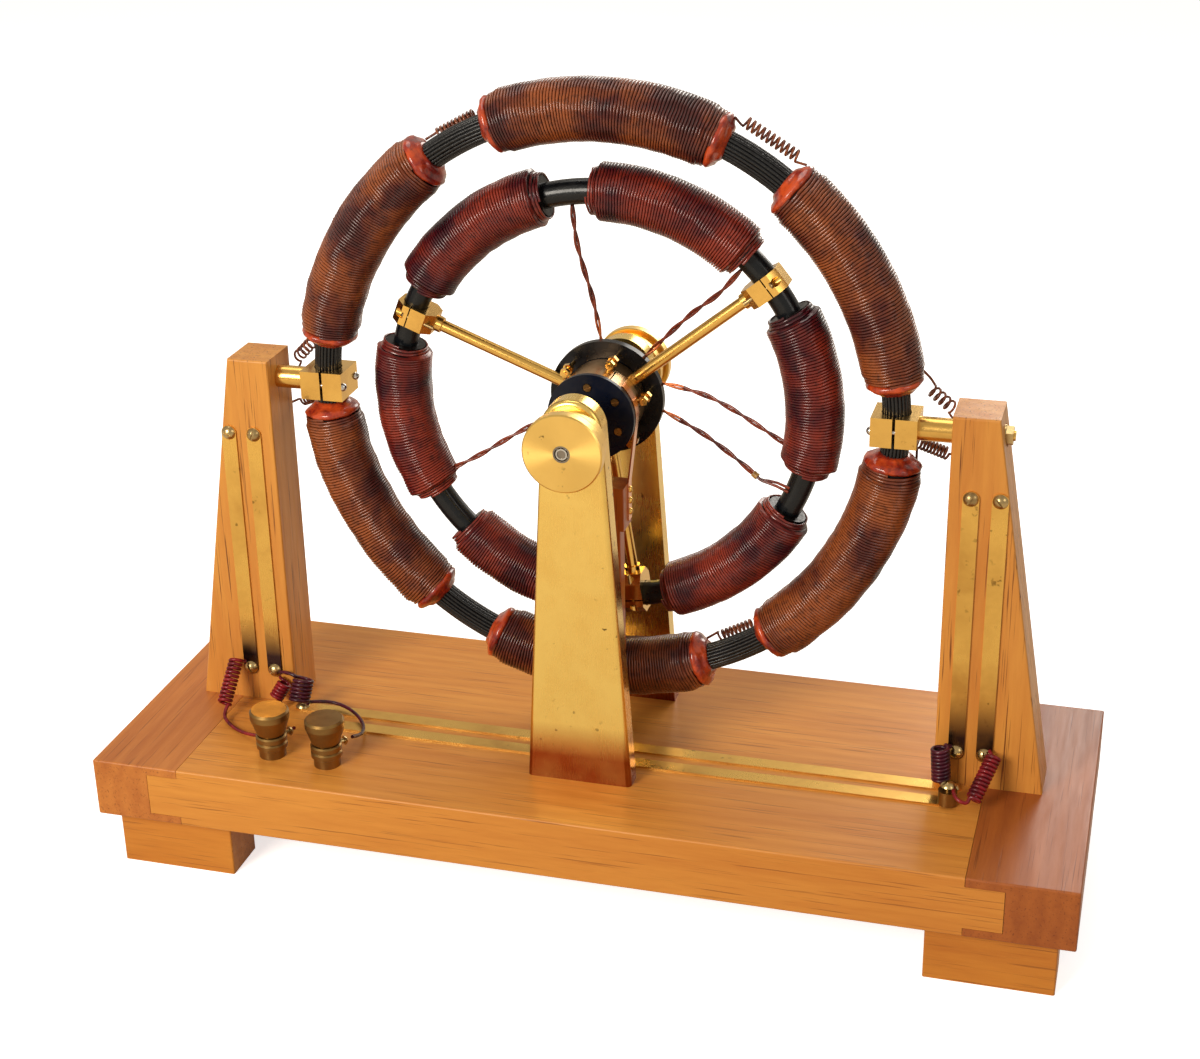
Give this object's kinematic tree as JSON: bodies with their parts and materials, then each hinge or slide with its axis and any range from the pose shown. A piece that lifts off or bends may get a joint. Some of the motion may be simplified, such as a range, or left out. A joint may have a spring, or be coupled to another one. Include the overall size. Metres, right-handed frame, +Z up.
{
  "type": "demonstration electric motor",
  "caption": "Classroom electric motor: wound stator ring between wooden posts, wound rotor ring with commutator and leaf brushes, brass bearing columns, wooden base with binding posts.",
  "frame": {"origin": "centre of the base on the surface that the feet stand on", "axes": "+Z up, +X to the right along the base, +Y towards the back along the motor shaft"},
  "size_m": [0.6, 0.213, 0.486],
  "materials": {
    "base_board": "lacquered",
    "end_batten_left": "lacquered",
    "end_batten_right": "lacquered",
    "feet": "lacquered",
    "post_left": "lacquered",
    "post_right": "lacquered",
    "conductor_strips": "aged",
    "small_screws": "aged",
    "base_stud": "aged",
    "stator_core": "dark wire bundle",
    "stator_collars": "glossy",
    "stator_clamps": "satin",
    "stator_clamp_screws": "satin",
    "clamp_rods": "satin",
    "rod_nuts": "satin",
    "column_front": "satin",
    "column_rear": "satin",
    "bearing_housings": "turned",
    "bearing_outer_rings": "bright",
    "brush_block": "lacquered",
    "brush_left": "springy leaf",
    "brush_right": "springy leaf",
    "brush_screws": "satin",
    "terminal_posts": "polished",
    "terminal_washer_left": "polished",
    "terminal_washer_right": "polished",
    "terminal_knob_left": "polished",
    "terminal_knob_right": "polished",
    "lead_left": "cotton covered",
    "lead_middle": "cotton covered",
    "lead_right": "cotton covered",
    "lead_dark": "cotton covered",
    "lead_red": "cotton covered",
    "coil_pigtails": "cotton covered",
    "shaft": "ground",
    "bearing_inner_rings": "bright",
    "hub": "satin",
    "insulating_sleeve": "hard rubber",
    "commutator_segments": "worn",
    "disc_front": "hard rubber",
    "disc_rear": "hard rubber",
    "disc_screws": "satin",
    "spokes": "satin",
    "rotor_clamps": "satin",
    "rotor_clamp_screws": "satin",
    "rotor_core": "dark wire bundle",
    "radial_wires": "cotton covered",
    "segment_terminals": "satin",
    "stator_coil_1": "shellacked wire",
    "rotor_coil_1": "shellacked wire",
    "stator_coil_2": "shellacked wire",
    "rotor_coil_2": "shellacked wire",
    "stator_coil_3": "shellacked wire",
    "rotor_coil_3": "shellacked wire",
    "stator_coil_4": "shellacked wire",
    "rotor_coil_4": "shellacked wire",
    "stator_coil_5": "shellacked wire",
    "rotor_coil_5": "shellacked wire",
    "stator_coil_6": "shellacked wire",
    "rotor_coil_6": "shellacked wire"
  },
  "bodies": {
    "stand": {"base_board": "base_board", "end_batten_left": "end_batten_left", "end_batten_right": "end_batten_right", "feet": "feet", "post_left": "post_left", "post_right": "post_right", "conductor_strips": "conductor_strips", "small_screws": "small_screws", "base_stud": "base_stud", "stator_core": "stator_core", "stator_collars": "stator_collars", "stator_clamps": "stator_clamps", "stator_clamp_screws": "stator_clamp_screws", "clamp_rods": "clamp_rods", "rod_nuts": "rod_nuts", "column_front": "column_front", "column_rear": "column_rear", "bearing_housings": "bearing_housings", "bearing_outer_rings": "bearing_outer_rings", "brush_block": "brush_block", "brush_left": "brush_left", "brush_right": "brush_right", "brush_screws": "brush_screws", "terminal_posts": "terminal_posts", "lead_left": "lead_left", "lead_middle": "lead_middle", "lead_right": "lead_right", "lead_dark": "lead_dark", "lead_red": "lead_red", "coil_pigtails": "coil_pigtails", "stator_coil_1": "stator_coil_1", "stator_coil_2": "stator_coil_2", "stator_coil_3": "stator_coil_3", "stator_coil_4": "stator_coil_4", "stator_coil_5": "stator_coil_5", "stator_coil_6": "stator_coil_6"},
    "rotor": {"shaft": "shaft", "bearing_inner_rings": "bearing_inner_rings", "hub": "hub", "insulating_sleeve": "insulating_sleeve", "commutator_segments": "commutator_segments", "disc_front": "disc_front", "disc_rear": "disc_rear", "disc_screws": "disc_screws", "spokes": "spokes", "rotor_clamps": "rotor_clamps", "rotor_clamp_screws": "rotor_clamp_screws", "rotor_core": "rotor_core", "radial_wires": "radial_wires", "segment_terminals": "segment_terminals", "rotor_coil_1": "rotor_coil_1", "rotor_coil_2": "rotor_coil_2", "rotor_coil_3": "rotor_coil_3", "rotor_coil_4": "rotor_coil_4", "rotor_coil_5": "rotor_coil_5", "rotor_coil_6": "rotor_coil_6"},
    "washer_left": {"terminal_washer_left": "terminal_washer_left"},
    "washer_right": {"terminal_washer_right": "terminal_washer_right"},
    "knob_left": {"terminal_knob_left": "terminal_knob_left"},
    "knob_right": {"terminal_knob_right": "terminal_knob_right"}
  },
  "joints": [
    {"name": "rotor_spin", "type": "hinge", "parent": "stand", "child": "rotor", "pos_m": [0, 0, 0.2946], "axis": [0, 1, 0], "continuous": true},
    {"name": "washer_left_lift", "type": "slide", "parent": "stand", "child": "washer_left", "axis": [0, 0, 1], "range_m": [0, 0.004]},
    {"name": "knob_left_turn", "type": "hinge", "parent": "washer_left", "child": "knob_left", "pos_m": [-0.1935, -0.0725, 0.1], "axis": [0, 0, 1], "range_deg": [0, 1500]},
    {"name": "washer_right_lift", "type": "slide", "parent": "stand", "child": "washer_right", "axis": [0, 0, 1], "range_m": [0, 0.004]},
    {"name": "knob_right_turn", "type": "hinge", "parent": "washer_right", "child": "knob_right", "pos_m": [-0.156, -0.075, 0.1], "axis": [0, 0, 1], "range_deg": [0, 1500]}
  ],
  "couplings": [
    {"joint": "knob_left_turn", "follows": "washer_left_lift", "rad_per_m": 6283.2},
    {"joint": "knob_right_turn", "follows": "washer_right_lift", "rad_per_m": 6283.2}
  ]
}
